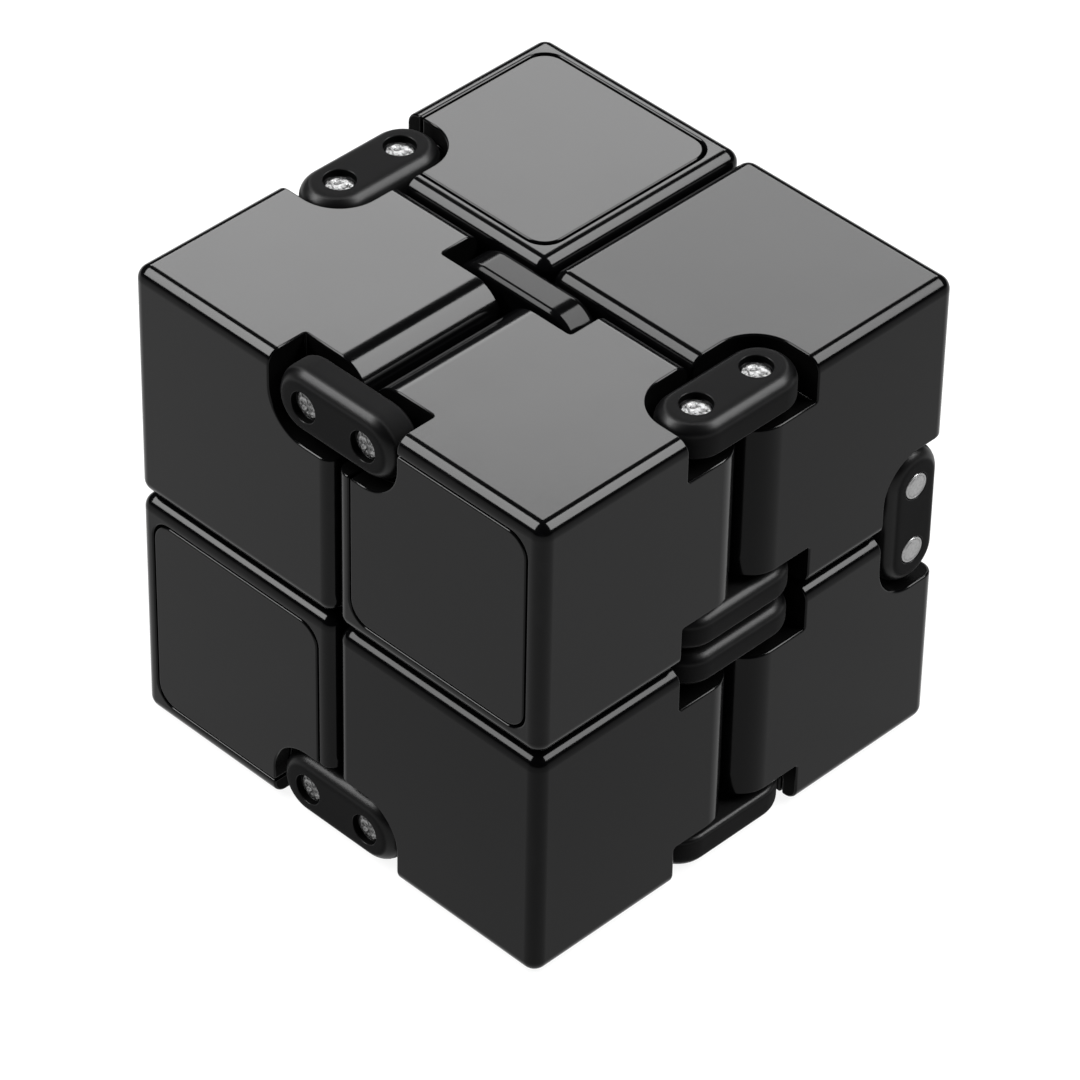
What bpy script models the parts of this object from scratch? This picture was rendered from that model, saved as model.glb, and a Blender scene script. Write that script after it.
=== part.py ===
"""Infinity cube: eight hollow cubes in a closed loop, joined by eight two-pin hinges.

Metres, +Z up. The folded block stands on Z = 0 with the origin at the middle of its
underside. Front is -Y and right is +X. Cubes are named by where they sit in the block.
"""
import math

import bmesh
import bpy
from mathutils import Matrix, Vector

MM = 0.001

# Driving dimensions
BLOCK = 40.0 * MM             # edge of the folded block
GAP = 0.4 * MM                # air between neighbouring cubes
CUBE = (BLOCK - GAP) / 2      # edge of one cube
HALF = CUBE / 2
EDGE_ROUND = 1.1 * MM         # ordinary edges
FOLD_ROUND = 2.3 * MM         # back cubes: the edge that passes its neighbour as the halves fold
WALL = 2.0 * MM               # shell wall

PIN_INSET = 2.7 * MM          # pin axis to both faces of its cube; also the hinge edge's round
PIN_RADIUS = 1.05 * MM
CUBE_BORE = 1.15 * MM         # the cube turns on the pin
LINK_BORE = 1.1 * MM          # the pin is held in the link plates
PIN_CHAMFER = 0.15 * MM

LINK_THICK = 2.8 * MM
LINK_RADIUS = 2.65 * MM       # round ends and half the width of a link plate
LINK_OVERHANG = 0.3 * MM      # from a pin out to the centre of the plate's round end
LINK_RIM = 1.0 * MM           # rounded outer rim of a plate
LINK_RECESS = 0.05 * MM       # outer side of a plate below the cube's face
COUNTERBORE = 1.2 * MM
COUNTERBORE_DEPTH = 0.6 * MM
PIN_SINK = 0.45 * MM          # end of a sunk pin below its plate's outer side

POCKET_DEPTH = 3.5 * MM       # along the hinge axis
POCKET_RADIUS = 3.35 * MM     # about the pin
POCKET_WALL = 1.25 * MM       # plastic left around pocket and bore

CAP_INSET = 1.4 * MM          # rim of the shell around the cap
CAP_THICK = 1.6 * MM
CAP_CORNER = 1.7 * MM
CAP_CLEARANCE = 0.12 * MM
CAP_GROOVE = 0.25 * MM        # bevel that draws the thin line around the cap
LIP_DEPTH = 1.4 * MM
LIP_THICK = 1.0 * MM

PIN_AXIS = HALF - PIN_INSET               # from a cube's centre, towards both faces
CUBE_PLACE = (BLOCK - CUBE) / 2           # from the block's centre to a cube's centre
PIN_SPREAD = PIN_INSET + GAP / 2          # from the middle of a gap to each of its pins
OVERCUT = 1.0 * MM                        # how far cutters run past a surface

AXES = {"X": Vector((1, 0, 0)), "Y": Vector((0, 1, 0)), "Z": Vector((0, 0, 1))}

# Cube: place in the block, then where the pattern cube's X, Y and Z axes point.
# The pattern has one hinge edge along Y at (-X, +Z), the other along Z at (+X, +Y),
# and its cap on -Y. Four cubes are rotations of it and four are mirror images.
CUBES = {
    "upper_front_right": ((1, -1, 1), ("+X", "+Y", "+Z")),
    "upper_front_left": ((-1, -1, 1), ("+X", "+Z", "+Y")),
    "upper_back_left": ((-1, 1, 1), ("+Y", "-Z", "-X")),
    "upper_back_right": ((1, 1, 1), ("-Y", "+X", "-Z")),
    "lower_front_right": ((1, -1, -1), ("-X", "-Z", "+Y")),
    "lower_front_left": ((-1, -1, -1), ("-X", "+Y", "-Z")),
    "lower_back_left": ((-1, 1, -1), ("-Y", "-X", "+Z")),
    "lower_back_right": ((1, 1, -1), ("+Y", "+Z", "+X")),
}

# Hinge: its two cubes, its axis, a word for the pin in each cube, and whether its pins
# sit flush in plain holes instead of sunk in counterbores.
HINGES = {
    "upper_left": ("upper_front_left", "upper_back_left", "Z", "front", "back", False),
    "upper_front": ("upper_front_left", "upper_front_right", "Y", "left", "right", False),
    "upper_right": ("upper_front_right", "upper_back_right", "Z", "front", "back", False),
    "back_right": ("lower_back_right", "upper_back_right", "X", "lower", "upper", True),
    "lower_right": ("lower_front_right", "lower_back_right", "Z", "front", "back", False),
    "lower_front": ("lower_front_left", "lower_front_right", "Y", "left", "right", False),
    "lower_left": ("lower_front_left", "lower_back_left", "Z", "front", "back", False),
    "back_left": ("lower_back_left", "upper_back_left", "X", "lower", "upper", False),
}

# The loop as a chain from the resting cube: each body turns on a pin of the one before.
CHAIN = (
    "lower_front_right", "lower_right", "lower_back_right", "back_right",
    "upper_back_right", "upper_right", "upper_front_right", "upper_front",
    "upper_front_left", "upper_left", "upper_back_left", "back_left",
    "lower_back_left", "lower_left", "lower_front_left", "lower_front",
)

COLOURS = {
    "shell_plastic": ((0.030, 0.030, 0.032), 0.38, 0.0),
    "cap_plastic": ((0.030, 0.030, 0.032), 0.38, 0.0),
    "link_plastic": ((0.022, 0.022, 0.024), 0.34, 0.0),
    "pin_steel": ((0.620, 0.620, 0.640), 0.32, 1.0),
}


def clear_scene():
    for obj in list(bpy.data.objects):
        bpy.data.objects.remove(obj, do_unlink=True)


def make_collection(name):
    collection = bpy.data.collections.new(name)
    bpy.context.scene.collection.children.link(collection)
    return collection


def make_material(name):
    colour, roughness, metallic = COLOURS[name]
    material = bpy.data.materials.new(name)
    material.use_nodes = True
    shader = material.node_tree.nodes["Principled BSDF"]
    shader.inputs["Base Color"].default_value = (*colour, 1.0)
    shader.inputs["Roughness"].default_value = roughness
    shader.inputs["Metallic"].default_value = metallic
    return material


# ---------------------------------------------------------------- working shapes

def work_object(name, bm):
    """Put a bmesh into a hidden working object among the cutters."""
    mesh = bpy.data.meshes.new(name)
    bm.to_mesh(mesh)
    bm.free()
    obj = bpy.data.objects.new(name, mesh)
    obj.hide_render = True
    obj.display_type = "WIRE"
    cutters.objects.link(obj)
    return obj


def box(name, low, high):
    """A box between two opposite corners."""
    bm = bmesh.new()
    bmesh.ops.create_cube(bm, size=1.0)
    low, high = Vector(low), Vector(high)
    bmesh.ops.scale(bm, vec=high - low, verts=bm.verts)
    bmesh.ops.translate(bm, vec=(low + high) / 2, verts=bm.verts)
    return work_object(name, bm)


def rod(name, radius, low, high, axis="Z", at=(0, 0, 0), segments=16):
    """A cylinder along an axis, between two heights, on a line through a point."""
    bm = bmesh.new()
    bmesh.ops.create_cone(bm, cap_ends=True, segments=segments, radius1=radius,
                          radius2=radius, depth=high - low)
    bmesh.ops.translate(bm, vec=(0, 0, (low + high) / 2), verts=bm.verts)
    turn = AXES["Z"].rotation_difference(AXES[axis]).to_matrix()
    bmesh.ops.rotate(bm, matrix=turn, verts=bm.verts)
    bmesh.ops.translate(bm, vec=at, verts=bm.verts)
    return work_object(name, bm)


def round_edges(obj, width, segments, share):
    """Bevel modifier whose share of the width on each edge comes from a function."""
    bm = bmesh.new()
    bm.from_mesh(obj.data)
    weight = bm.edges.layers.float.new("bevel_weight_edge")
    for edge in bm.edges:
        edge[weight] = share(edge.verts[0].co, edge.verts[1].co)
    bm.to_mesh(obj.data)
    bm.free()
    bevel = obj.modifiers.new("rounding", "BEVEL")
    bevel.width = width
    bevel.segments = segments
    bevel.limit_method = "WEIGHT"
    bevel.use_clamp_overlap = False


def cut(obj, *tools):
    for tool in tools:
        boolean = obj.modifiers.new("cut_" + tool.name, "BOOLEAN")
        boolean.operation = "DIFFERENCE"
        boolean.solver = "EXACT"
        boolean.object = tool


def join(obj, tool):
    boolean = obj.modifiers.new("join_" + tool.name, "BOOLEAN")
    boolean.operation = "UNION"
    boolean.solver = "EXACT"
    boolean.object = tool


def finished_mesh(obj, name):
    """The evaluated mesh of a working object, which is then removed."""
    depsgraph = bpy.context.evaluated_depsgraph_get()
    mesh = bpy.data.meshes.new_from_object(obj.evaluated_get(depsgraph), depsgraph=depsgraph)
    mesh.name = name
    bpy.data.objects.remove(obj, do_unlink=True)
    mesh.shade_smooth()
    mesh.set_sharp_from_angle(angle=math.radians(40))
    return mesh


def mirrored(mesh):
    copy = mesh.copy()
    copy.name = mesh.name + "_mirrored"
    copy.transform(Matrix.Diagonal((-1, 1, 1, 1)))
    copy.flip_normals()
    return copy


# ---------------------------------------------------------------- pattern cube

def on_line(a, b, axis, signs):
    """1 if an edge runs along an axis on the sides that the signs name."""
    along = abs((b - a)[axis]) > HALF
    beside = all(a[i] * sign > 0 for i, sign in signs.items())
    return along and beside


def pocket(name, axis, end, corner):
    """Cutter for the room of one link plate, at one end of a hinge edge.

    The corner gives the signs of the two faces that meet in the hinge edge.
    """
    near = PIN_AXIS - POCKET_RADIUS
    far = HALF + OVERCUT
    low, high = [0.0] * 3, [0.0] * 3
    low[axis], high[axis] = sorted((end * far, end * (HALF - POCKET_DEPTH)))
    for i, sign in corner.items():
        low[i], high[i] = sorted((sign * near, sign * far))
    tool = box(name, low, high)
    inner = {i: sign * near for i, sign in corner.items()}

    def on_inner_edge(a, b):
        hits = [abs(v[i] - at) < MM / 100 for v in (a, b) for i, at in inner.items()]
        return 1.0 if all(hits) else 0.0

    round_edges(tool, POCKET_RADIUS, 6, on_inner_edge)
    return tool


def first_pockets():
    return [pocket(f"first_pocket_{end}", 1, end, {0: -1, 2: 1}) for end in (-1, 1)]


def second_pockets():
    return [pocket(f"second_pocket_{end}", 2, end, {0: 1, 1: 1}) for end in (-1, 1)]


def first_edge_rod(name, radius, segments=16):
    at = (-PIN_AXIS, 0, PIN_AXIS)
    return rod(name, radius, -HALF - OVERCUT, HALF + OVERCUT, "Y", at, segments)


def second_edge_rod(name, radius, segments=16):
    at = (PIN_AXIS, PIN_AXIS, 0)
    return rod(name, radius, -HALF - OVERCUT, HALF + OVERCUT, "Z", at, segments)


def square_plug(name, half, corner, low, high):
    """A round-cornered square block around Y."""
    plug = box(name, (-half, low, -half), (half, high, half))
    round_edges(plug, corner, 3, lambda a, b: float(abs((b - a).y) > MM / 2))
    return plug


def shell_mesh(fold_round):
    shell = box("pattern_shell", (-HALF,) * 3, (HALF,) * 3)

    def share(a, b):
        if on_line(a, b, 1, {0: -1, 2: 1}) or on_line(a, b, 2, {0: 1, 1: 1}):
            return 1.0
        fold = on_line(a, b, 0, {1: -1, 2: -1})
        return (fold_round if fold else EDGE_ROUND) / PIN_INSET

    round_edges(shell, PIN_INSET, 4, share)
    inside = HALF - WALL
    cavity = box("cavity", (-inside, -HALF - OVERCUT, -inside), (inside, inside, inside))
    keep = POCKET_RADIUS + POCKET_WALL
    cut(cavity, first_edge_rod("first_column", keep, 32), second_edge_rod("second_column", keep, 32))
    seat = square_plug("cap_seat", HALF - CAP_INSET, CAP_CORNER, -HALF - OVERCUT, -HALF + CAP_THICK)
    cut(shell, cavity, seat, *first_pockets(), *second_pockets())
    cut(shell, first_edge_rod("first_bore", CUBE_BORE), second_edge_rod("second_bore", CUBE_BORE))
    return finished_mesh(shell, "back_shell" if fold_round > EDGE_ROUND else "front_shell")


def cap_mesh():
    half = HALF - CAP_INSET - CAP_CLEARANCE
    bottom = -HALF + CAP_THICK - CAP_CLEARANCE
    cap = square_plug("pattern_cap", half, CAP_CORNER, -HALF, bottom)
    rim = cap.modifiers.new("groove", "BEVEL")
    rim.width = CAP_GROOVE
    rim.segments = 1
    rim.limit_method = "ANGLE"
    rim.angle_limit = math.radians(60)
    outer = HALF - WALL - CAP_CLEARANCE
    lip = square_plug("lip", outer, CAP_CORNER / 2, bottom - LIP_THICK, bottom + LIP_DEPTH)
    hollow = square_plug("lip_hollow", outer - LIP_THICK, CAP_CORNER / 3,
                         bottom, bottom + LIP_DEPTH + OVERCUT)
    cut(lip, hollow)
    column = rod("lip_relief", POCKET_RADIUS + POCKET_WALL + CAP_CLEARANCE,
                 bottom - LIP_THICK / 2, HALF, "Y", (-PIN_AXIS, 0, PIN_AXIS), 32)
    cut(lip, column)
    join(cap, lip)
    cut(cap, first_pockets()[0])
    return finished_mesh(cap, "cap")


# ---------------------------------------------------------------- pattern link and pin

def stadium(radius, reach, steps):
    """Points of a round-ended outline along X, with arc centres at -reach and +reach."""
    points = []
    for side in (1, -1):
        for step in range(steps + 1):
            angle = math.pi * (step / steps - 0.5)
            points.append(side * Vector((reach + radius * math.cos(angle),
                                         radius * math.sin(angle), 0)))
    return points


def flat_plate(name, points, thick):
    """A flat outline raised to a thickness, from Z = -thick to Z = 0."""
    curve = bpy.data.curves.new(name, "CURVE")
    curve.dimensions = "2D"
    curve.fill_mode = "BOTH"
    curve.extrude = thick / 2
    spline = curve.splines.new("POLY")
    spline.points.add(len(points) - 1)
    for slot, point in zip(spline.points, points):
        slot.co = (*point, 1.0)
    spline.use_cyclic_u = True
    outline = bpy.data.objects.new(name, curve)
    cutters.objects.link(outline)
    depsgraph = bpy.context.evaluated_depsgraph_get()
    mesh = bpy.data.meshes.new_from_object(outline.evaluated_get(depsgraph))
    bpy.data.objects.remove(outline, do_unlink=True)
    bm = bmesh.new()
    bm.from_mesh(mesh)
    bmesh.ops.remove_doubles(bm, verts=bm.verts, dist=MM / 1000)
    bmesh.ops.dissolve_limit(bm, angle_limit=math.radians(1), verts=bm.verts, edges=bm.edges)
    bmesh.ops.translate(bm, vec=(0, 0, -thick / 2), verts=bm.verts)
    bmesh.ops.recalc_face_normals(bm, faces=bm.faces)
    return work_object(name, bm)


def link_mesh(sunk_pins):
    """A link plate whose outer side is at Z = 0, with pins at -X and +X."""
    outline = stadium(LINK_RADIUS, PIN_SPREAD + LINK_OVERHANG, 8)
    plate = flat_plate("pattern_link", outline, LINK_THICK)

    def on_outer_rim(a, b):
        return 1.0 if max(abs(a.z), abs(b.z)) < MM / 100 else 0.0

    round_edges(plate, LINK_RIM, 2, on_outer_rim)
    for side in (-1, 1):
        at = (side * PIN_SPREAD, 0, 0)
        cut(plate, rod(f"link_bore_{side}", LINK_BORE, -LINK_THICK - OVERCUT, OVERCUT, at=at))
        if sunk_pins:
            cut(plate, rod(f"counterbore_{side}", COUNTERBORE, -COUNTERBORE_DEPTH, OVERCUT, at=at))
    return finished_mesh(plate, "link_sunk" if sunk_pins else "link_plain")


def pin_mesh(length):
    """A pin from Z = -length to Z = 0."""
    pin = rod("pattern_pin", PIN_RADIUS, -length, 0)
    chamfer = pin.modifiers.new("chamfer", "BEVEL")
    chamfer.width = PIN_CHAMFER
    chamfer.segments = 1
    chamfer.limit_method = "ANGLE"
    chamfer.angle_limit = math.radians(60)
    return finished_mesh(pin, "pin")


# ---------------------------------------------------------------- places

def cube_centre(name):
    return Vector(CUBES[name][0]) * CUBE_PLACE + Vector((0, 0, BLOCK / 2))


def signed_axis(text):
    return AXES[text[1]] * (1 if text[0] == "+" else -1)


def cube_turn(name):
    """Rotation of a cube, and whether it is made from the mirrored pattern."""
    columns = [signed_axis(text) for text in CUBES[name][1]]
    matrix = Matrix(columns).transposed()
    mirror = matrix.determinant() < 0
    if mirror:
        matrix = matrix @ Matrix.Diagonal((-1, 1, 1))
    return matrix, mirror


def hinge_frame(name):
    """Middle of the hinge on its outer face, direction between its pins, outward axis."""
    first, second, axis, *_ = HINGES[name]
    a, b = cube_centre(first), cube_centre(second)
    spread = (b - a).normalized()
    middle = (a + b) / 2
    offset = middle - Vector((0, 0, BLOCK / 2))
    outward = AXES[axis] * math.copysign(1, offset.dot(AXES[axis]))
    side = outward.cross(spread)
    side *= math.copysign(1, offset.dot(side))
    return middle + side * PIN_AXIS + outward * HALF, spread, outward


def pin_place(hinge, cube):
    """Outer end of the pin line of a hinge in one of its cubes."""
    middle, spread, _ = hinge_frame(hinge)
    return middle + spread * PIN_SPREAD * (-1 if cube == HINGES[hinge][0] else 1)


def joint_place(body, previous):
    """A point on the pin line that a body shares with the one before it."""
    hinge, cube = (body, previous) if body in HINGES else (previous, body)
    return pin_place(hinge, cube) - hinge_frame(hinge)[2] * HALF


# ---------------------------------------------------------------- assembly

def make_empties():
    """One empty for each body, on its joint's axis, nested in the order of the chain."""
    empties = {}
    previous = None
    for body in CHAIN:
        empty = bpy.data.objects.new("turn_" + body, None)
        empty.empty_display_size = HALF
        parts.objects.link(empty)
        place = joint_place(body, previous) if previous else Vector()
        if previous:
            empty.parent = empties[previous][0]
            empty.location = place - empties[previous][1]
        empties[body] = (empty, place)
        previous = body
    return empties


def place_part(name, mesh, material, body, place, turn):
    obj = bpy.data.objects.new(name, mesh)
    parts.objects.link(obj)
    if not mesh.materials:
        mesh.materials.append(material)
    empty, origin = empties[body]
    obj.parent = empty
    obj.location = place - origin
    obj.rotation_euler = turn.to_euler()
    return obj


def both_hands(mesh):
    return {False: mesh, True: mirrored(mesh)}


def make_cubes():
    front_shells = both_hands(shell_mesh(EDGE_ROUND))
    back_shells = both_hands(shell_mesh(FOLD_ROUND))
    caps = both_hands(cap_mesh())
    for name, (place, _) in CUBES.items():
        turn, mirror = cube_turn(name)
        shell = (back_shells if place[1] > 0 else front_shells)[mirror]
        cap = caps[mirror]
        centre = cube_centre(name)
        place_part(name + "_shell", shell, materials["shell_plastic"], name, centre, turn)
        place_part(name + "_cap", cap, materials["cap_plastic"], name, centre, turn)


def make_hinges():
    links = {sunk: link_mesh(sunk) for sunk in (True, False)}
    pin_ends = {True: LINK_RECESS + PIN_SINK, False: LINK_RECESS}
    pins = {sunk: pin_mesh(CUBE - end - LINK_RECESS) for sunk, end in pin_ends.items()}
    for name, (first, second, _, first_word, second_word, flush) in HINGES.items():
        middle, spread, outward = hinge_frame(name)
        turn = Matrix((spread, outward.cross(spread), outward)).transposed()
        inner_turn = Matrix((spread, -outward.cross(spread), -outward)).transposed()
        plastic = materials["link_plastic"]
        outer_place = middle - outward * LINK_RECESS
        inner_place = middle - outward * (CUBE - LINK_RECESS)
        place_part(name + "_link_outer", links[not flush], plastic, name, outer_place, turn)
        place_part(name + "_link_inner", links[False], plastic, name, inner_place, inner_turn)
        for cube, word in ((first, first_word), (second, second_word)):
            end = pin_place(name, cube) - outward * pin_ends[not flush]
            place_part(f"{name}_pin_{word}", pins[not flush], materials["pin_steel"], name, end, turn)


clear_scene()
parts = make_collection("infinity_cube")
cutters = make_collection("cutters")
cutters.hide_render = True
materials = {name: make_material(name) for name in COLOURS}
empties = make_empties()
make_cubes()
make_hinges()
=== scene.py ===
"""Looks of the infinity cube: finely rounded pieces, their materials, light and camera.

Every visible piece is built again here with fine edges, at the sizes and places of the frame's
nodes, and rides on the body of the node that it stands for.
"""
import math

import bmesh
import bpy
from mathutils import Matrix, Vector, noise


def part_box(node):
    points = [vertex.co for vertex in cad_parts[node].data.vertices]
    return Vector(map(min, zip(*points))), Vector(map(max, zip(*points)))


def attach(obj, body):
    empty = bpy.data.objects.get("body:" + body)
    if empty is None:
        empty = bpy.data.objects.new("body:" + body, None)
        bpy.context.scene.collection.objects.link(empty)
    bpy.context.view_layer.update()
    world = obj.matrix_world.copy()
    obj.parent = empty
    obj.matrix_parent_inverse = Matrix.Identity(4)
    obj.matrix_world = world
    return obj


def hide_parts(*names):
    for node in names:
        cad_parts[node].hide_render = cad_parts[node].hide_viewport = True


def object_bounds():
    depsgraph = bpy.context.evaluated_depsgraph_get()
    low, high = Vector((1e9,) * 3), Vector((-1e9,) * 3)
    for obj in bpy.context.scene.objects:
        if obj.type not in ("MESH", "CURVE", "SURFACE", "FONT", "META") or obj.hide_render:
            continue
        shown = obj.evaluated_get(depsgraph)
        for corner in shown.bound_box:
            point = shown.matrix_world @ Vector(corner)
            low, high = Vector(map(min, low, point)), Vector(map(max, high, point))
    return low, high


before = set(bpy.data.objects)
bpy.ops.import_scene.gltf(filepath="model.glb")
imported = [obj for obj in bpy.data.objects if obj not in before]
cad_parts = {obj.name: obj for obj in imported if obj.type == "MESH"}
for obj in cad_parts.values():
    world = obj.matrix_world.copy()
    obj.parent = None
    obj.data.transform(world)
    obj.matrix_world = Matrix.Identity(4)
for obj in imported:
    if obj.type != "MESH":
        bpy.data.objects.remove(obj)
cad_box = [list(corner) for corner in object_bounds()]

MM = 0.001
AXES = {"X": Vector((1, 0, 0)), "Y": Vector((0, 1, 0)), "Z": Vector((0, 0, 1))}

# Cube: a scale on its specular level, a painted light that makes some cubes read lighter or darker than
# the others, then where the pattern cube's X, Y and Z axes point.
# The pattern has one hinge edge along Y at (-X, +Z), the other along Z at (+X, +Y), and its cap on -Y.
CUBES = {
    "upper_front_right": (1.09, "+X", "+Y", "+Z"),
    "upper_front_left": (1.2, "+X", "+Z", "+Y"),
    "upper_back_left": (1.07, "+Y", "-Z", "-X"),
    "upper_back_right": (0.88, "-Y", "+X", "-Z"),
    "lower_front_right": (0.82, "-X", "-Z", "+Y"),
    "lower_front_left": (1.08, "-X", "+Y", "-Z"),
    "lower_back_left": (1.0, "-Y", "-X", "+Z"),
    "lower_back_right": (0.95, "+Y", "+Z", "+X"),
}

# Hinge: a word for each of its pins, and whether the pins sit flush instead of sunk.
HINGES = {
    "upper_left": (("front", "back"), False),
    "upper_front": (("left", "right"), False),
    "upper_right": (("front", "back"), False),
    "back_right": (("lower", "upper"), True),
    "lower_right": (("front", "back"), False),
    "lower_front": (("left", "right"), False),
    "lower_left": (("front", "back"), False),
    "back_left": (("lower", "upper"), False),
}
CRISP_HINGE = "upper_front"   # its inner plate, in the middle of the top, has crisp, glossy edges

# Shapes that the frame's boxes don't tell
EDGE_ROUND = 1.1 * MM
PIN_INSET = 2.7 * MM
CUBE_BORE = 1.15 * MM
LINK_BORE = 1.1 * MM
COUNTERBORE = 1.2 * MM
COUNTERBORE_DEPTH = 0.6 * MM
OUTER_LINK_RIM = 1.25 * MM    # rounded rims of the plates
BACK_LINK_RIM = 0.5 * MM
INNER_LINK_RIM = 1.05 * MM
CRISP_LINK_RIM = 0.55 * MM
POCKET_DEPTH = 3.5 * MM
POCKET_RADIUS = 3.35 * MM
CAP_INSET = 1.4 * MM
CAP_CORNER = 1.7 * MM
CAP_CLEARANCE = 0.13 * MM
CAP_RIM = 0.14 * MM
CAP_THICK = 1.6 * MM
MOULD_RIM = 0.16 * MM         # small radius where a moulded pocket breaks a face
BORE_RIM = 0.08 * MM          # the same at a plate's bores
RIM_ANGLE = math.radians(33)  # sharper edges than this get a rim
PIN_RIM = 0.12 * MM
SHEARED_BAND = 0.13 * MM      # depth of the rough part of a sheared pin end
OVERCUT = 1.0 * MM
TINY = MM / 100

# Height of a pin's end at shares of its radius: a sheared end, and a turned one with a fine ring
SHEARED_END = ((0.15, -0.05), (0.30, -0.07), (0.42, -0.09), (0.50, -0.07), (0.60, 0.02), (0.70, 0.03),
               (0.78, 0.0))
TURNED_END = ((0.2, 0.0), (0.5, 0.0), (0.78, 0.0), (0.80, -0.06), (0.84, -0.06), (0.86, 0.0))

# Materials: colours are linear, and a level is the specular level
CUBE_COLOUR, CUBE_WORN = (0.0008, 0.0008, 0.0009), (0.0024, 0.0024, 0.0026)
CUBE_LEVEL, CUBE_GRAIN, CUBE_ROUGHNESS = 0.095, 0.12, 0.13
LINK_COLOUR, LINK_WORN = (0.0010, 0.0010, 0.0011), (0.0030, 0.0030, 0.0032)
SATIN_LEVEL, SATIN_GRAIN, SATIN_ROUGHNESS, FILLET_ROUGHNESS = 0.15, 0.2, 0.95, 0.36
GLOSSY_LEVEL, GLOSSY_GRAIN, GLOSSY_ROUGHNESS = 0.057, 0.12, 0.13
# Pocket walls: their low specular level is painted shade in the recesses; their roughness is a duller
# finish.
POCKET_COLOUR, POCKET_SHADE_LEVEL, POCKET_ROUGHNESS = (0.001, 0.001, 0.001, 1.0), 0.02, 0.6
CLOUD_SCALE, STREAK_SCALE, GRAIN_SCALE = 160.0, 900.0, 5200.0   # noise periods per metre
GRAIN_DEPTH = 0.01 * MM
MARK_DEPTH = 0.09 * MM


def middle(low, high):
    return (low + high) / 2


SHELL_LOW, SHELL_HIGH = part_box("upper_front_right_shell")
HALF = (SHELL_HIGH.x - SHELL_LOW.x) / 2
PIN_AXIS = HALF - PIN_INSET
LINK_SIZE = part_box("upper_front_link_outer")[1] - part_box("upper_front_link_outer")[0]
LINK_THICK = LINK_SIZE.y
LINK_RADIUS = LINK_SIZE.z / 2
LINK_REACH = LINK_SIZE.x / 2 - LINK_RADIUS
PIN_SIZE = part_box("upper_front_pin_left")[1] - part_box("upper_front_pin_left")[0]
PIN_RADIUS = PIN_SIZE.x / 2
PIN_SPREAD = middle(*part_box("upper_front_pin_right")).x


# ---------------------------------------------------------------- materials

def new_material(name):
    material = bpy.data.materials.new(name)
    material.use_nodes = True
    tree = material.node_tree
    return material, tree, tree.nodes["Principled BSDF"]


def add_node(tree, kind, **settings):
    node = tree.nodes.new(kind)
    for key, value in settings.items():
        setattr(node, key, value)
    return node


def math_node(tree, operation, first, second=None):
    node = add_node(tree, "ShaderNodeMath", operation=operation)
    for socket, value in zip(node.inputs, (first, second)):
        if value is None:
            continue
        if isinstance(value, bpy.types.NodeSocket):
            tree.links.new(value, socket)
        else:
            socket.default_value = value
    return node.outputs[0]


def ramp(tree, value, low, high, to_low, to_high):
    """A smooth change from one value to another while the input goes from low to high."""
    node = add_node(tree, "ShaderNodeMapRange", interpolation_type="SMOOTHSTEP")
    tree.links.new(value, node.inputs["Value"])
    limits = {"From Min": low, "From Max": high, "To Min": to_low, "To Max": to_high}
    for name, number in limits.items():
        node.inputs[name].default_value = number
    return node.outputs["Result"]


def noise_node(tree, coordinates, scale, detail, rough):
    node = add_node(tree, "ShaderNodeTexNoise")
    node.inputs["Scale"].default_value = scale
    node.inputs["Detail"].default_value = detail
    node.inputs["Roughness"].default_value = rough
    tree.links.new(coordinates, node.inputs["Vector"])
    return node.outputs["Fac"]


def mix_colour(tree, factor, first, second):
    node = add_node(tree, "ShaderNodeMix", data_type="RGBA")
    tree.links.new(factor, node.inputs["Factor"])
    node.inputs[6].default_value = (*first, 1.0)
    node.inputs[7].default_value = (*second, 1.0)
    return node.outputs[2]


def split_axes(tree, vector):
    split = add_node(tree, "ShaderNodeSeparateXYZ")
    tree.links.new(vector, split.inputs[0])
    return split.outputs


def add_bump(tree, shader, height, strength, depth):
    bump = add_node(tree, "ShaderNodeBump")
    bump.inputs["Strength"].default_value = strength
    bump.inputs["Distance"].default_value = depth
    tree.links.new(height, bump.inputs["Height"])
    tree.links.new(bump.outputs[0], shader.inputs["Normal"])


def edge_mask(tree, coordinates):
    """1 along the outer edges of a cube centred on its own origin, 0 on its faces."""
    x, y, z = (math_node(tree, "ABSOLUTE", socket) for socket in split_axes(tree, coordinates))
    larger = math_node(tree, "MAXIMUM", x, y)
    smaller = math_node(tree, "MINIMUM", x, y)
    second = math_node(tree, "MAXIMUM", smaller, math_node(tree, "MINIMUM", larger, z))
    return ramp(tree, second, HALF - EDGE_ROUND, HALF - EDGE_ROUND * 0.2, 0.0, 1.0)


def fillet_mask(tree, _):
    """1 where the surface of a link plate slopes between its flat outer face and its sides."""
    z = split_axes(tree, add_node(tree, "ShaderNodeTexCoord").outputs["Normal"])["Z"]
    square = math_node(tree, "MULTIPLY", z, z)
    slope = math_node(tree, "MULTIPLY", square, math_node(tree, "SUBTRACT", 1.0, square))
    return ramp(tree, slope, 0.06, 0.2, 0.0, 1.0)


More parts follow.
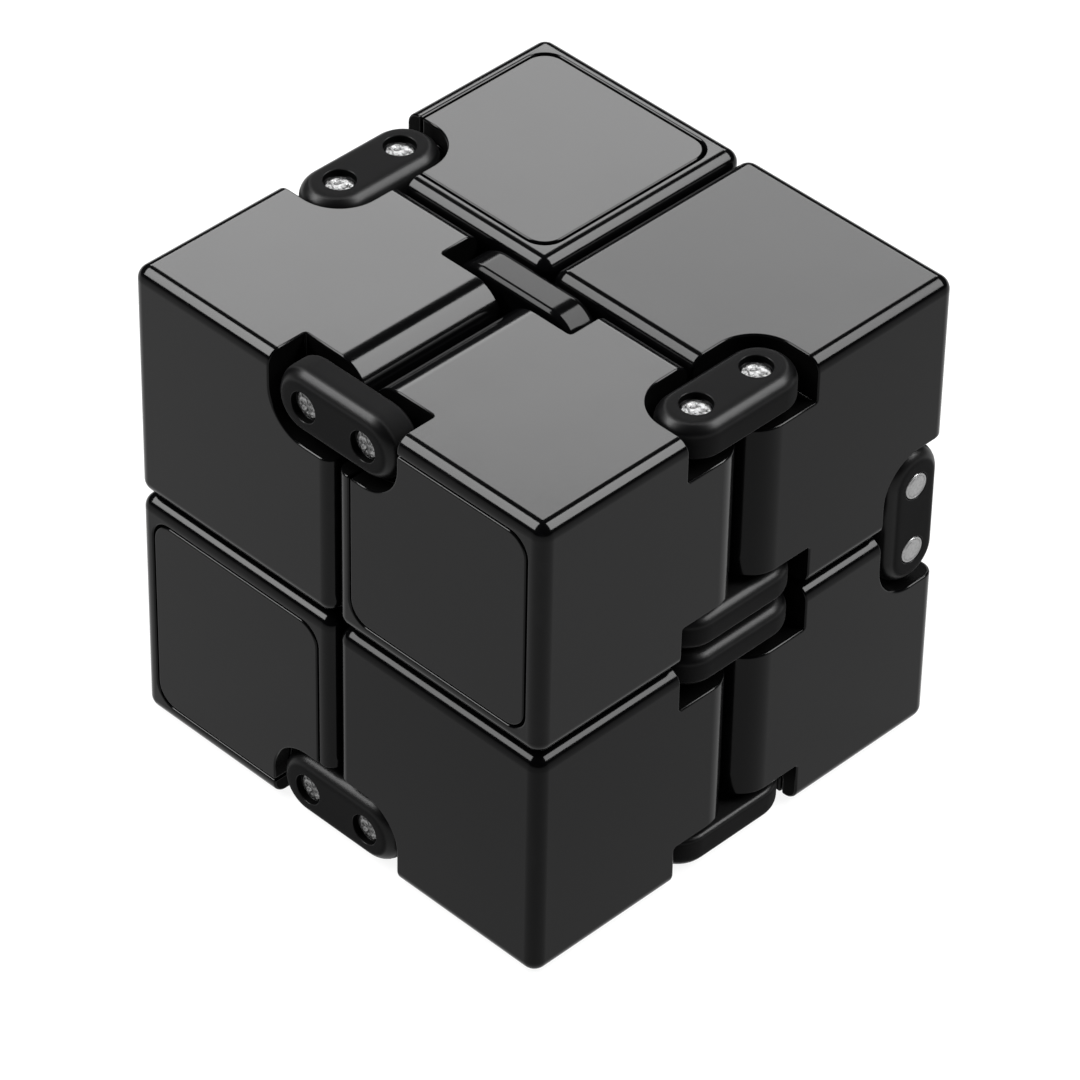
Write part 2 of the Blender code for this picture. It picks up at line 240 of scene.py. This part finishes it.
def black_plastic(name, colour, worn, level, grain, roughness, edge_roughness, edges):
    """Moulded black plastic: fine grain, faint handling marks, and paler, rubbed edges."""
    material, tree, shader = new_material(name)
    place = add_node(tree, "ShaderNodeTexCoord").outputs["Object"]
    cloud = noise_node(tree, place, CLOUD_SCALE, 3.0, 0.55)
    streak = noise_node(tree, place, STREAK_SCALE, 4.0, 0.6)
    rubbed = ramp(tree, math_node(tree, "MULTIPLY", cloud, streak), 0.24, 0.42, 0.0, 1.0)
    edge = edges(tree, place) if edges else None
    wear = math_node(tree, "MULTIPLY", rubbed, edge if edges else 0.25)
    tree.links.new(mix_colour(tree, wear, colour, worn), shader.inputs["Base Color"])
    gloss = ramp(tree, cloud, 0.3, 0.7, roughness - 0.01, roughness + 0.01)
    if edges:
        change = math_node(tree, "MULTIPLY", edge, edge_roughness - roughness)
        gloss = math_node(tree, "ADD", gloss, change)
    tree.links.new(gloss, shader.inputs["Roughness"])
    shader.inputs["Specular IOR Level"].default_value = level
    fine = noise_node(tree, place, GRAIN_SCALE, 2.0, 0.6)
    add_bump(tree, shader, fine, grain, GRAIN_DEPTH)
    return material


# The gloss scales the specular level of one cube's plastic: painted light, a lighter or darker copy of
# the same plastic.
def cube_plastic(name, gloss, edges):
    return black_plastic(name + "_black", CUBE_COLOUR, CUBE_WORN, CUBE_LEVEL * gloss, CUBE_GRAIN,
                         CUBE_ROUGHNESS, CUBE_ROUGHNESS, edge_mask if edges else None)


def pocket_shade_plastic():
    """Inner walls of pockets, bores and seats: rough, and far less reflective than the faces, which
    paints shade in these recesses.
    """
    material, _, shader = new_material("pocket_painted_shade")
    shader.inputs["Base Color"].default_value = POCKET_COLOUR
    shader.inputs["Specular IOR Level"].default_value = POCKET_SHADE_LEVEL
    shader.inputs["Roughness"].default_value = POCKET_ROUGHNESS
    return material


def steel(name, dark, bright, roughness, marks, mark_scale):
    """Bare steel with cut or brushed marks on its end, and a plain shank."""
    material, tree, shader = new_material(name)
    place = add_node(tree, "ShaderNodeTexCoord")
    cut = noise_node(tree, place.outputs["Object"], mark_scale, 4.0, 0.65)
    end = ramp(tree, split_axes(tree, place.outputs["Normal"])["Z"], 0.2, 0.6, 0.0, 1.0)
    shank = math_node(tree, "SUBTRACT", 1.0, end)
    tone = math_node(tree, "MAXIMUM", ramp(tree, cut, 0.36, 0.60, 0.0, 1.0), shank)
    tree.links.new(mix_colour(tree, tone, dark, bright), shader.inputs["Base Color"])
    gloss = ramp(tree, cut, 0.3, 0.7, roughness + 0.08, roughness - 0.08)
    tree.links.new(gloss, shader.inputs["Roughness"])
    shader.inputs["Metallic"].default_value = 1.0
    add_bump(tree, shader, math_node(tree, "MULTIPLY", cut, end), marks, MARK_DEPTH)
    return material


# ---------------------------------------------------------------- working shapes

plain = new_material("plain_black")[0]
# plastic for cut walls, less reflective than the faces: painted shade in pockets, bores and seats
painted_shade_walls = pocket_shade_plastic()
scratch = bpy.data.collections.new("scratch")
bpy.context.scene.collection.children.link(scratch)


def work_object(name, bm):
    mesh = bpy.data.meshes.new(name)
    bm.to_mesh(mesh)
    bm.free()
    mesh.materials.append(plain)
    obj = bpy.data.objects.new(name, mesh)
    scratch.objects.link(obj)
    return obj


def box(name, low, high):
    bm = bmesh.new()
    bmesh.ops.create_cube(bm, size=1.0)
    low, high = Vector(low), Vector(high)
    bmesh.ops.scale(bm, vec=high - low, verts=bm.verts)
    bmesh.ops.translate(bm, vec=middle(low, high), verts=bm.verts)
    return work_object(name, bm)


def rod(name, radius, low, high, axis="Z", at=(0, 0, 0), segments=40):
    bm = bmesh.new()
    bmesh.ops.create_cone(bm, cap_ends=True, segments=segments, radius1=radius,
                          radius2=radius, depth=high - low)
    bmesh.ops.translate(bm, vec=(0, 0, (low + high) / 2), verts=bm.verts)
    turn = AXES["Z"].rotation_difference(AXES[axis]).to_matrix()
    bmesh.ops.rotate(bm, matrix=turn, verts=bm.verts)
    bmesh.ops.translate(bm, vec=at, verts=bm.verts)
    return work_object(name, bm)


def round_edges(obj, width, segments, share):
    """Bevel modifier whose share of the width on each edge comes from a function."""
    bm = bmesh.new()
    bm.from_mesh(obj.data)
    weight = bm.edges.layers.float.new("bevel_weight_edge")
    for edge in bm.edges:
        edge[weight] = share(edge.verts[0].co, edge.verts[1].co)
    bm.to_mesh(obj.data)
    bm.free()
    bevel = obj.modifiers.new("rounding", "BEVEL")
    bevel.width = width
    bevel.segments = segments
    bevel.limit_method = "WEIGHT"
    bevel.use_clamp_overlap = False


def cut(obj, *tools):
    """Cuts working objects out of another; the cut walls get the pocket plastic, whose low reflectance
    is painted shade.
    """
    for tool in tools:
        tool.data.materials[0] = painted_shade_walls
        boolean = obj.modifiers.new("cut_" + tool.name, "BOOLEAN")
        boolean.operation = "DIFFERENCE"
        boolean.solver = "EXACT"
        boolean.material_mode = "TRANSFER"
        boolean.object = tool


def soften_rims(obj, width, segments=2):
    """Rounds every edge sharper than the rounded ones that are there already."""
    bevel = obj.modifiers.new("rims", "BEVEL")
    bevel.width = width
    bevel.segments = segments
    bevel.limit_method = "ANGLE"
    bevel.angle_limit = RIM_ANGLE
    bevel.use_clamp_overlap = False
    bevel.miter_outer = "MITER_ARC"
    bevel.material = 0


def evaluated_mesh(obj, name):
    """The mesh of a working object with its modifiers applied; the object is removed."""
    depsgraph = bpy.context.evaluated_depsgraph_get()
    mesh = bpy.data.meshes.new_from_object(obj.evaluated_get(depsgraph), depsgraph=depsgraph)
    mesh.name = name
    bpy.data.objects.remove(obj, do_unlink=True)
    return mesh


def smoothed(mesh):
    """The same mesh shaded smooth, with its flat faces kept flat."""
    mesh.shade_smooth()
    obj = bpy.data.objects.new(mesh.name, mesh)
    scratch.objects.link(obj)
    flat = obj.modifiers.new("flat_faces", "WEIGHTED_NORMAL")
    flat.mode = "FACE_AREA"
    flat.weight = 90
    return evaluated_mesh(obj, mesh.name + "_smooth")


def finished_mesh(obj, name):
    return smoothed(evaluated_mesh(obj, name))


def both_hands(obj, name):
    """The finished mesh of a working object and of its mirror image in X."""
    mesh = evaluated_mesh(obj, name)
    other = mesh.copy()
    other.name = name + "_mirrored"
    other.transform(Matrix.Diagonal((-1, 1, 1, 1)))
    other.flip_normals()
    return {False: smoothed(mesh), True: smoothed(other)}


# ---------------------------------------------------------------- pattern cube

def on_line(a, b, axis, signs):
    along = abs((b - a)[axis]) > HALF
    beside = all(a[i] * sign > 0 for i, sign in signs.items())
    return along and beside


def pocket(name, axis, end, corner):
    """Cutter for the room of one link plate, at one end of a hinge edge."""
    near = PIN_AXIS - POCKET_RADIUS
    far = HALF + OVERCUT
    low, high = [0.0] * 3, [0.0] * 3
    low[axis], high[axis] = sorted((end * far, end * (HALF - POCKET_DEPTH)))
    for i, sign in corner.items():
        low[i], high[i] = sorted((sign * near, sign * far))
    tool = box(name, low, high)
    inner = {i: sign * near for i, sign in corner.items()}

    def on_inner_edge(a, b):
        return float(all(abs(v[i] - at) < TINY for v in (a, b) for i, at in inner.items()))

    round_edges(tool, POCKET_RADIUS, 16, on_inner_edge)
    return tool


def first_pocket(end):
    return pocket(f"first_pocket_{end}", 1, end, {0: -1, 2: 1})


def second_pocket(end):
    return pocket(f"second_pocket_{end}", 2, end, {0: 1, 1: 1})


def square_plug(name, half, corner, low, high):
    """A round-cornered square block around Y."""
    plug = box(name, (-half, low, -half), (half, high, half))
    round_edges(plug, corner, 8, lambda a, b: float(abs((b - a).y) > MM / 2))
    return plug


def shell_meshes():
    """Closed skin of the shell, with its pockets, bores and the seat of its cap."""
    shell = box("pattern_shell", (-HALF,) * 3, (HALF,) * 3)

    def share(a, b):
        hinge = on_line(a, b, 1, {0: -1, 2: 1}) or on_line(a, b, 2, {0: 1, 1: 1})
        return 1.0 if hinge else EDGE_ROUND / PIN_INSET

    round_edges(shell, PIN_INSET, 10, share)
    seat = square_plug("cap_seat", HALF - CAP_INSET, CAP_CORNER, -HALF - OVERCUT, -HALF + CAP_THICK)
    cut(shell, seat, first_pocket(-1), first_pocket(1), second_pocket(-1), second_pocket(1))
    far = HALF + OVERCUT
    cut(shell, rod("first_bore", CUBE_BORE, -far, far, "Y", (-PIN_AXIS, 0, PIN_AXIS)))
    cut(shell, rod("second_bore", CUBE_BORE, -far, far, "Z", (PIN_AXIS, PIN_AXIS, 0)))
    soften_rims(shell, MOULD_RIM)
    return both_hands(shell, "shell")


def cap_meshes():
    half = HALF - CAP_INSET - CAP_CLEARANCE
    cap = square_plug("pattern_cap", half, CAP_CORNER, -HALF, -HALF + CAP_THICK - CAP_CLEARANCE)
    cut(cap, first_pocket(-1))
    soften_rims(cap, CAP_RIM, 3)
    return both_hands(cap, "cap")


# ---------------------------------------------------------------- pattern link and pin

def stadium(radius, reach, steps):
    points = []
    for side in (1, -1):
        for step in range(steps + 1):
            angle = math.pi * (step / steps - 0.5)
            points.append(side * Vector((reach + radius * math.cos(angle), radius * math.sin(angle), 0)))
    return points


def link_mesh(name, rim, back_rim, sunk_pins):
    """A link plate whose outer side is at Z = 0, with pins at -X and +X."""
    bm = bmesh.new()
    outline = [bm.verts.new(point) for point in stadium(LINK_RADIUS, LINK_REACH, 24)]
    face = bm.faces.new(outline)
    grown = bmesh.ops.extrude_face_region(bm, geom=[face])
    lower = [v for v in grown["geom"] if isinstance(v, bmesh.types.BMVert)]
    bmesh.ops.translate(bm, vec=(0, 0, -LINK_THICK), verts=lower)
    bmesh.ops.recalc_face_normals(bm, faces=bm.faces)
    plate = work_object("pattern_link", bm)

    def share(a, b):
        if max(abs(a.z), abs(b.z)) < TINY:
            return 1.0
        return back_rim / rim if max(a.z, b.z) < -LINK_THICK + TINY else 0.0

    round_edges(plate, rim, 8, share)
    for side in (-1, 1):
        at = (side * PIN_SPREAD, 0, 0)
        cut(plate, rod(f"link_bore_{side}", LINK_BORE, -LINK_THICK - OVERCUT, OVERCUT, at=at))
        if sunk_pins:
            cut(plate, rod(f"counterbore_{side}", COUNTERBORE, -COUNTERBORE_DEPTH, OVERCUT, at=at))
    soften_rims(plate, BORE_RIM)
    return finished_mesh(plate, name)


def pin_profile(length, sheared):
    """Radius and height pairs from the middle of the outer end to the far end of a pin."""
    end = SHEARED_END if sheared else TURNED_END
    profile = [(PIN_RADIUS * share, height * MM) for share, height in end]
    profile += [(PIN_RADIUS - PIN_RIM * (1 - math.sin(a)), -PIN_RIM * (1 - math.cos(a)))
                for a in (0.0, math.pi / 6, math.pi / 3, math.pi / 2)]
    return profile + [(PIN_RADIUS, PIN_RIM - length), (PIN_RADIUS - PIN_RIM, -length)]


def roughened(point):
    """Height that shearing adds to a point of a pin's end."""
    return 0.05 * MM * noise.noise(point * 1900.0) + 0.035 * MM * noise.noise(point * 4600.0)


def pin_mesh(length, sheared):
    """A pin from Z = -length to Z = 0, its outer end sheared and dished, or turned with a ring."""
    segments = 64
    bm = bmesh.new()
    loops = []
    for radius, z in pin_profile(length, sheared):
        loop = []
        for k in range(segments):
            angle = 2 * math.pi * k / segments
            point = Vector((radius * math.cos(angle), radius * math.sin(angle), z))
            if sheared and z > -SHEARED_BAND:
                point.z += roughened(point)
            loop.append(bm.verts.new(point))
        loops.append(loop)
    top = bm.verts.new((0, 0, 0))
    for k in range(segments):
        after = (k + 1) % segments
        bm.faces.new((top, loops[0][k], loops[0][after]))
        for inner, outer in zip(loops, loops[1:]):
            bm.faces.new((inner[k], outer[k], outer[after], inner[after]))
    bm.faces.new(list(reversed(loops[-1])))
    bmesh.ops.recalc_face_normals(bm, faces=bm.faces)
    return finished_mesh(work_object("pattern_pin", bm), "pin_sheared" if sheared else "pin_turned")


# ---------------------------------------------------------------- placing

def signed_axis(text):
    return AXES[text[1]] * (1 if text[0] == "+" else -1)


def add_piece(name, mesh, material, place, turn, body, node):
    obj = bpy.data.objects.new(name, mesh)
    bpy.context.scene.collection.objects.link(obj)
    obj.material_slots[0].link = "OBJECT"
    obj.material_slots[0].material = material
    obj.location = place
    obj.rotation_euler = turn.to_euler()
    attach(obj, body)
    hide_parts(node)


def make_cubes():
    shells, caps = shell_meshes(), cap_meshes()
    for name, (gloss, *axes) in CUBES.items():
        turn = Matrix([signed_axis(text) for text in axes]).transposed()
        mirror = turn.determinant() < 0
        if mirror:
            turn = turn @ Matrix.Diagonal((-1, 1, 1))
        centre = middle(*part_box(name + "_shell"))
        body = name + "_cube"
        for part, hands, edges in (("shell", shells, True), ("cap", caps, False)):
            node = f"{name}_{part}"
            # each cube's shell and cap get a copy of the plastic made lighter or darker by its gloss:
            # painted light
            plastic = cube_plastic(node, gloss, edges)
            add_piece(node + "_fine", hands[mirror], plastic, centre, turn, body,
                      node)


def hinge_axes(name, words):
    """Direction between the pins and outward direction of a hinge, from its nodes' boxes."""
    first, second = (middle(*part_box(f"{name}_pin_{word}")) for word in words)
    inner, outer = (middle(*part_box(f"{name}_link_{side}")) for side in ("inner", "outer"))
    return (second - first).normalized(), (outer - inner).normalized()


def make_hinges(satin, glossy, sheared_steel, turned_steel):
    sunk_link = link_mesh("link_sunk", OUTER_LINK_RIM, BACK_LINK_RIM, True)
    flush_link = link_mesh("link_flush", OUTER_LINK_RIM, BACK_LINK_RIM, False)
    inner_link = link_mesh("link_inner", INNER_LINK_RIM, INNER_LINK_RIM, False)
    crisp_link = link_mesh("link_crisp", CRISP_LINK_RIM, CRISP_LINK_RIM, False)
    pins = {}
    for name, (words, flush) in HINGES.items():
        spread, outward = hinge_axes(name, words)
        turn = Matrix((spread, outward.cross(spread), outward)).transposed()
        inner_turn = Matrix((spread, -outward.cross(spread), -outward)).transposed()
        body = name + "_link"
        crisp = name == CRISP_HINGE
        for side, mesh, plastic, face, way in (
                ("outer", flush_link if flush else sunk_link, satin, outward, turn),
                ("inner", crisp_link if crisp else inner_link, glossy if crisp else satin,
                 -outward, inner_turn)):
            node = f"{name}_link_{side}"
            place = middle(*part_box(node)) + face * LINK_THICK / 2
            add_piece(node + "_fine", mesh, plastic, place, way, body, node)
        for word in words:
            node = f"{name}_pin_{word}"
            low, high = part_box(node)
            length = max(high - low)
            if flush not in pins:
                pins[flush] = pin_mesh(length, not flush)
            place = middle(low, high) + outward * length / 2
            metal = turned_steel if flush else sheared_steel
            add_piece(node + "_fine", pins[flush], metal, place, turn, body, node)


make_cubes()
make_hinges(
    black_plastic("satin_link_black", LINK_COLOUR, LINK_WORN, SATIN_LEVEL, SATIN_GRAIN,
                  SATIN_ROUGHNESS, FILLET_ROUGHNESS, fillet_mask),
    black_plastic("glossy_link_black", LINK_COLOUR, LINK_WORN, GLOSSY_LEVEL, GLOSSY_GRAIN,
                  GLOSSY_ROUGHNESS, GLOSSY_ROUGHNESS, None),
    steel("pin_sheared_steel", (0.02, 0.02, 0.02), (0.28, 0.28, 0.28), 0.36, 1.0, 2600.0),
    steel("pin_turned_steel", (0.26, 0.26, 0.26), (0.30, 0.30, 0.30), 0.40, 0.1, 4000.0),
)


# ---------------------------------------------------------------- floor, light and camera

CENTRE = middle(*(Vector(corner) for corner in cad_box))
CAMERA_AZIMUTH = math.radians(44.5)
CAMERA_ELEVATION = math.radians(39.83)
CAMERA_ROLL = math.radians(1.11)
CAMERA_DISTANCE = 0.4296
CAMERA_TARGET = CENTRE + Vector((3.43, -3.39, 0.0)) * MM
LENS = 204.9
FLOOR_HALF = 3.0
FLOOR_GAP = 0.02 * MM
FLOOR_COLOUR, FLOOR_GLOW = (0.12, 0.12, 0.12, 1.0), 0.90
LIGHT_DISTANCE = 0.9
PANEL_SIZE, PANEL_RADIANCE = (0.52, 0.237), 14.2
STRIP_SIZE, STRIP_RADIANCE = (0.25, 0.77), 25.0
STUDIO_DARK, HORIZON_PALE = (0.05, 0.05, 0.052), (0.95, 0.95, 0.95)


def towards(azimuth, elevation):
    """Unit vector; azimuth 0 is the front (-Y), and 90 degrees is the right (+X)."""
    return Vector((math.sin(azimuth) * math.cos(elevation),
                   -math.cos(azimuth) * math.cos(elevation), math.sin(elevation)))


def make_floor():
    bm = bmesh.new()
    bmesh.ops.create_grid(bm, x_segments=1, y_segments=1, size=FLOOR_HALF)
    mesh = bpy.data.meshes.new("floor")
    bm.to_mesh(mesh)
    bm.free()
    floor = bpy.data.objects.new("floor", mesh)
    bpy.context.scene.collection.objects.link(floor)
    floor.location.z = cad_box[0][2] - FLOOR_GAP
    material, _, shader = new_material("light_table")
    shader.inputs["Base Color"].default_value = FLOOR_COLOUR
    shader.inputs["Emission Color"].default_value = (1.0, 1.0, 1.0, 1.0)
    shader.inputs["Emission Strength"].default_value = FLOOR_GLOW
    shader.inputs["Roughness"].default_value = 0.9
    shader.inputs["Specular IOR Level"].default_value = 0.0
    mesh.materials.append(material)


def softbox(name, away, along, size, radiance):
    """A rectangular light in one direction from the object, with its length along another."""
    width, length = size
    light = bpy.data.lights.new(name, "AREA")
    light.shape = "RECTANGLE"
    light.size = width
    light.size_y = length
    light.energy = radiance * math.pi * width * length
    lamp = bpy.data.objects.new(name, light)
    bpy.context.scene.collection.objects.link(lamp)
    side = along.cross(away).normalized()
    lamp.matrix_world = Matrix.Translation(CENTRE + away * LIGHT_DISTANCE) @ Matrix(
        (side, away.cross(side), away)).transposed().to_4x4()
    lamp.visible_camera = False


def make_lights():
    """A panel behind for the tops, and a strip on each side for the edges."""
    panel_way = towards(math.radians(-135), math.radians(36))
    softbox("back_panel", panel_way, AXES["Z"], PANEL_SIZE, PANEL_RADIANCE)
    softbox("left_strip", Vector((-0.548, -0.384, 0.743)), Vector((0, -0.889, -0.459)),
            STRIP_SIZE, STRIP_RADIANCE)
    softbox("right_strip", Vector((0.384, 0.548, 0.743)), Vector((0.889, 0, -0.459)),
            STRIP_SIZE, STRIP_RADIANCE)


def make_world():
    """A dark studio with a pale horizon on the camera's side."""
    world = bpy.data.worlds.new("studio")
    bpy.context.scene.world = world
    world.use_nodes = True
    tree = world.node_tree
    direction = add_node(tree, "ShaderNodeTexCoord").outputs["Generated"]
    height = split_axes(tree, direction)["Z"]
    front = add_node(tree, "ShaderNodeVectorMath", operation="DOT_PRODUCT")
    tree.links.new(direction, front.inputs[0])
    front.inputs[1].default_value = towards(CAMERA_AZIMUTH, 0.0)
    pale = math_node(tree, "MULTIPLY", ramp(tree, height, 0.06, 0.22, 1.0, 0.0),
                     ramp(tree, front.outputs["Value"], -0.25, 0.15, 0.0, 1.0))
    sky = mix_colour(tree, pale, STUDIO_DARK, HORIZON_PALE)
    tree.links.new(sky, tree.nodes["Background"].inputs["Color"])


def make_camera():
    data = bpy.data.cameras.new("camera")
    data.sensor_width = 36.0
    data.lens = LENS
    data.clip_start = 0.01
    camera = bpy.data.objects.new("camera", data)
    bpy.context.scene.collection.objects.link(camera)
    back = towards(CAMERA_AZIMUTH, CAMERA_ELEVATION)
    right = Vector((math.cos(CAMERA_AZIMUTH), math.sin(CAMERA_AZIMUTH), 0.0))
    up = back.cross(right)
    turned_right = right * math.cos(CAMERA_ROLL) + up * math.sin(CAMERA_ROLL)
    turned_up = up * math.cos(CAMERA_ROLL) - right * math.sin(CAMERA_ROLL)
    camera.rotation_euler = Matrix((turned_right, turned_up, back)).transposed().to_euler()
    camera.location = CAMERA_TARGET + back * CAMERA_DISTANCE
    bpy.context.scene.camera = camera


make_floor()
make_world()
make_lights()
make_camera()
bpy.context.scene.view_settings.view_transform = "Standard"
bpy.data.collections.remove(scratch)
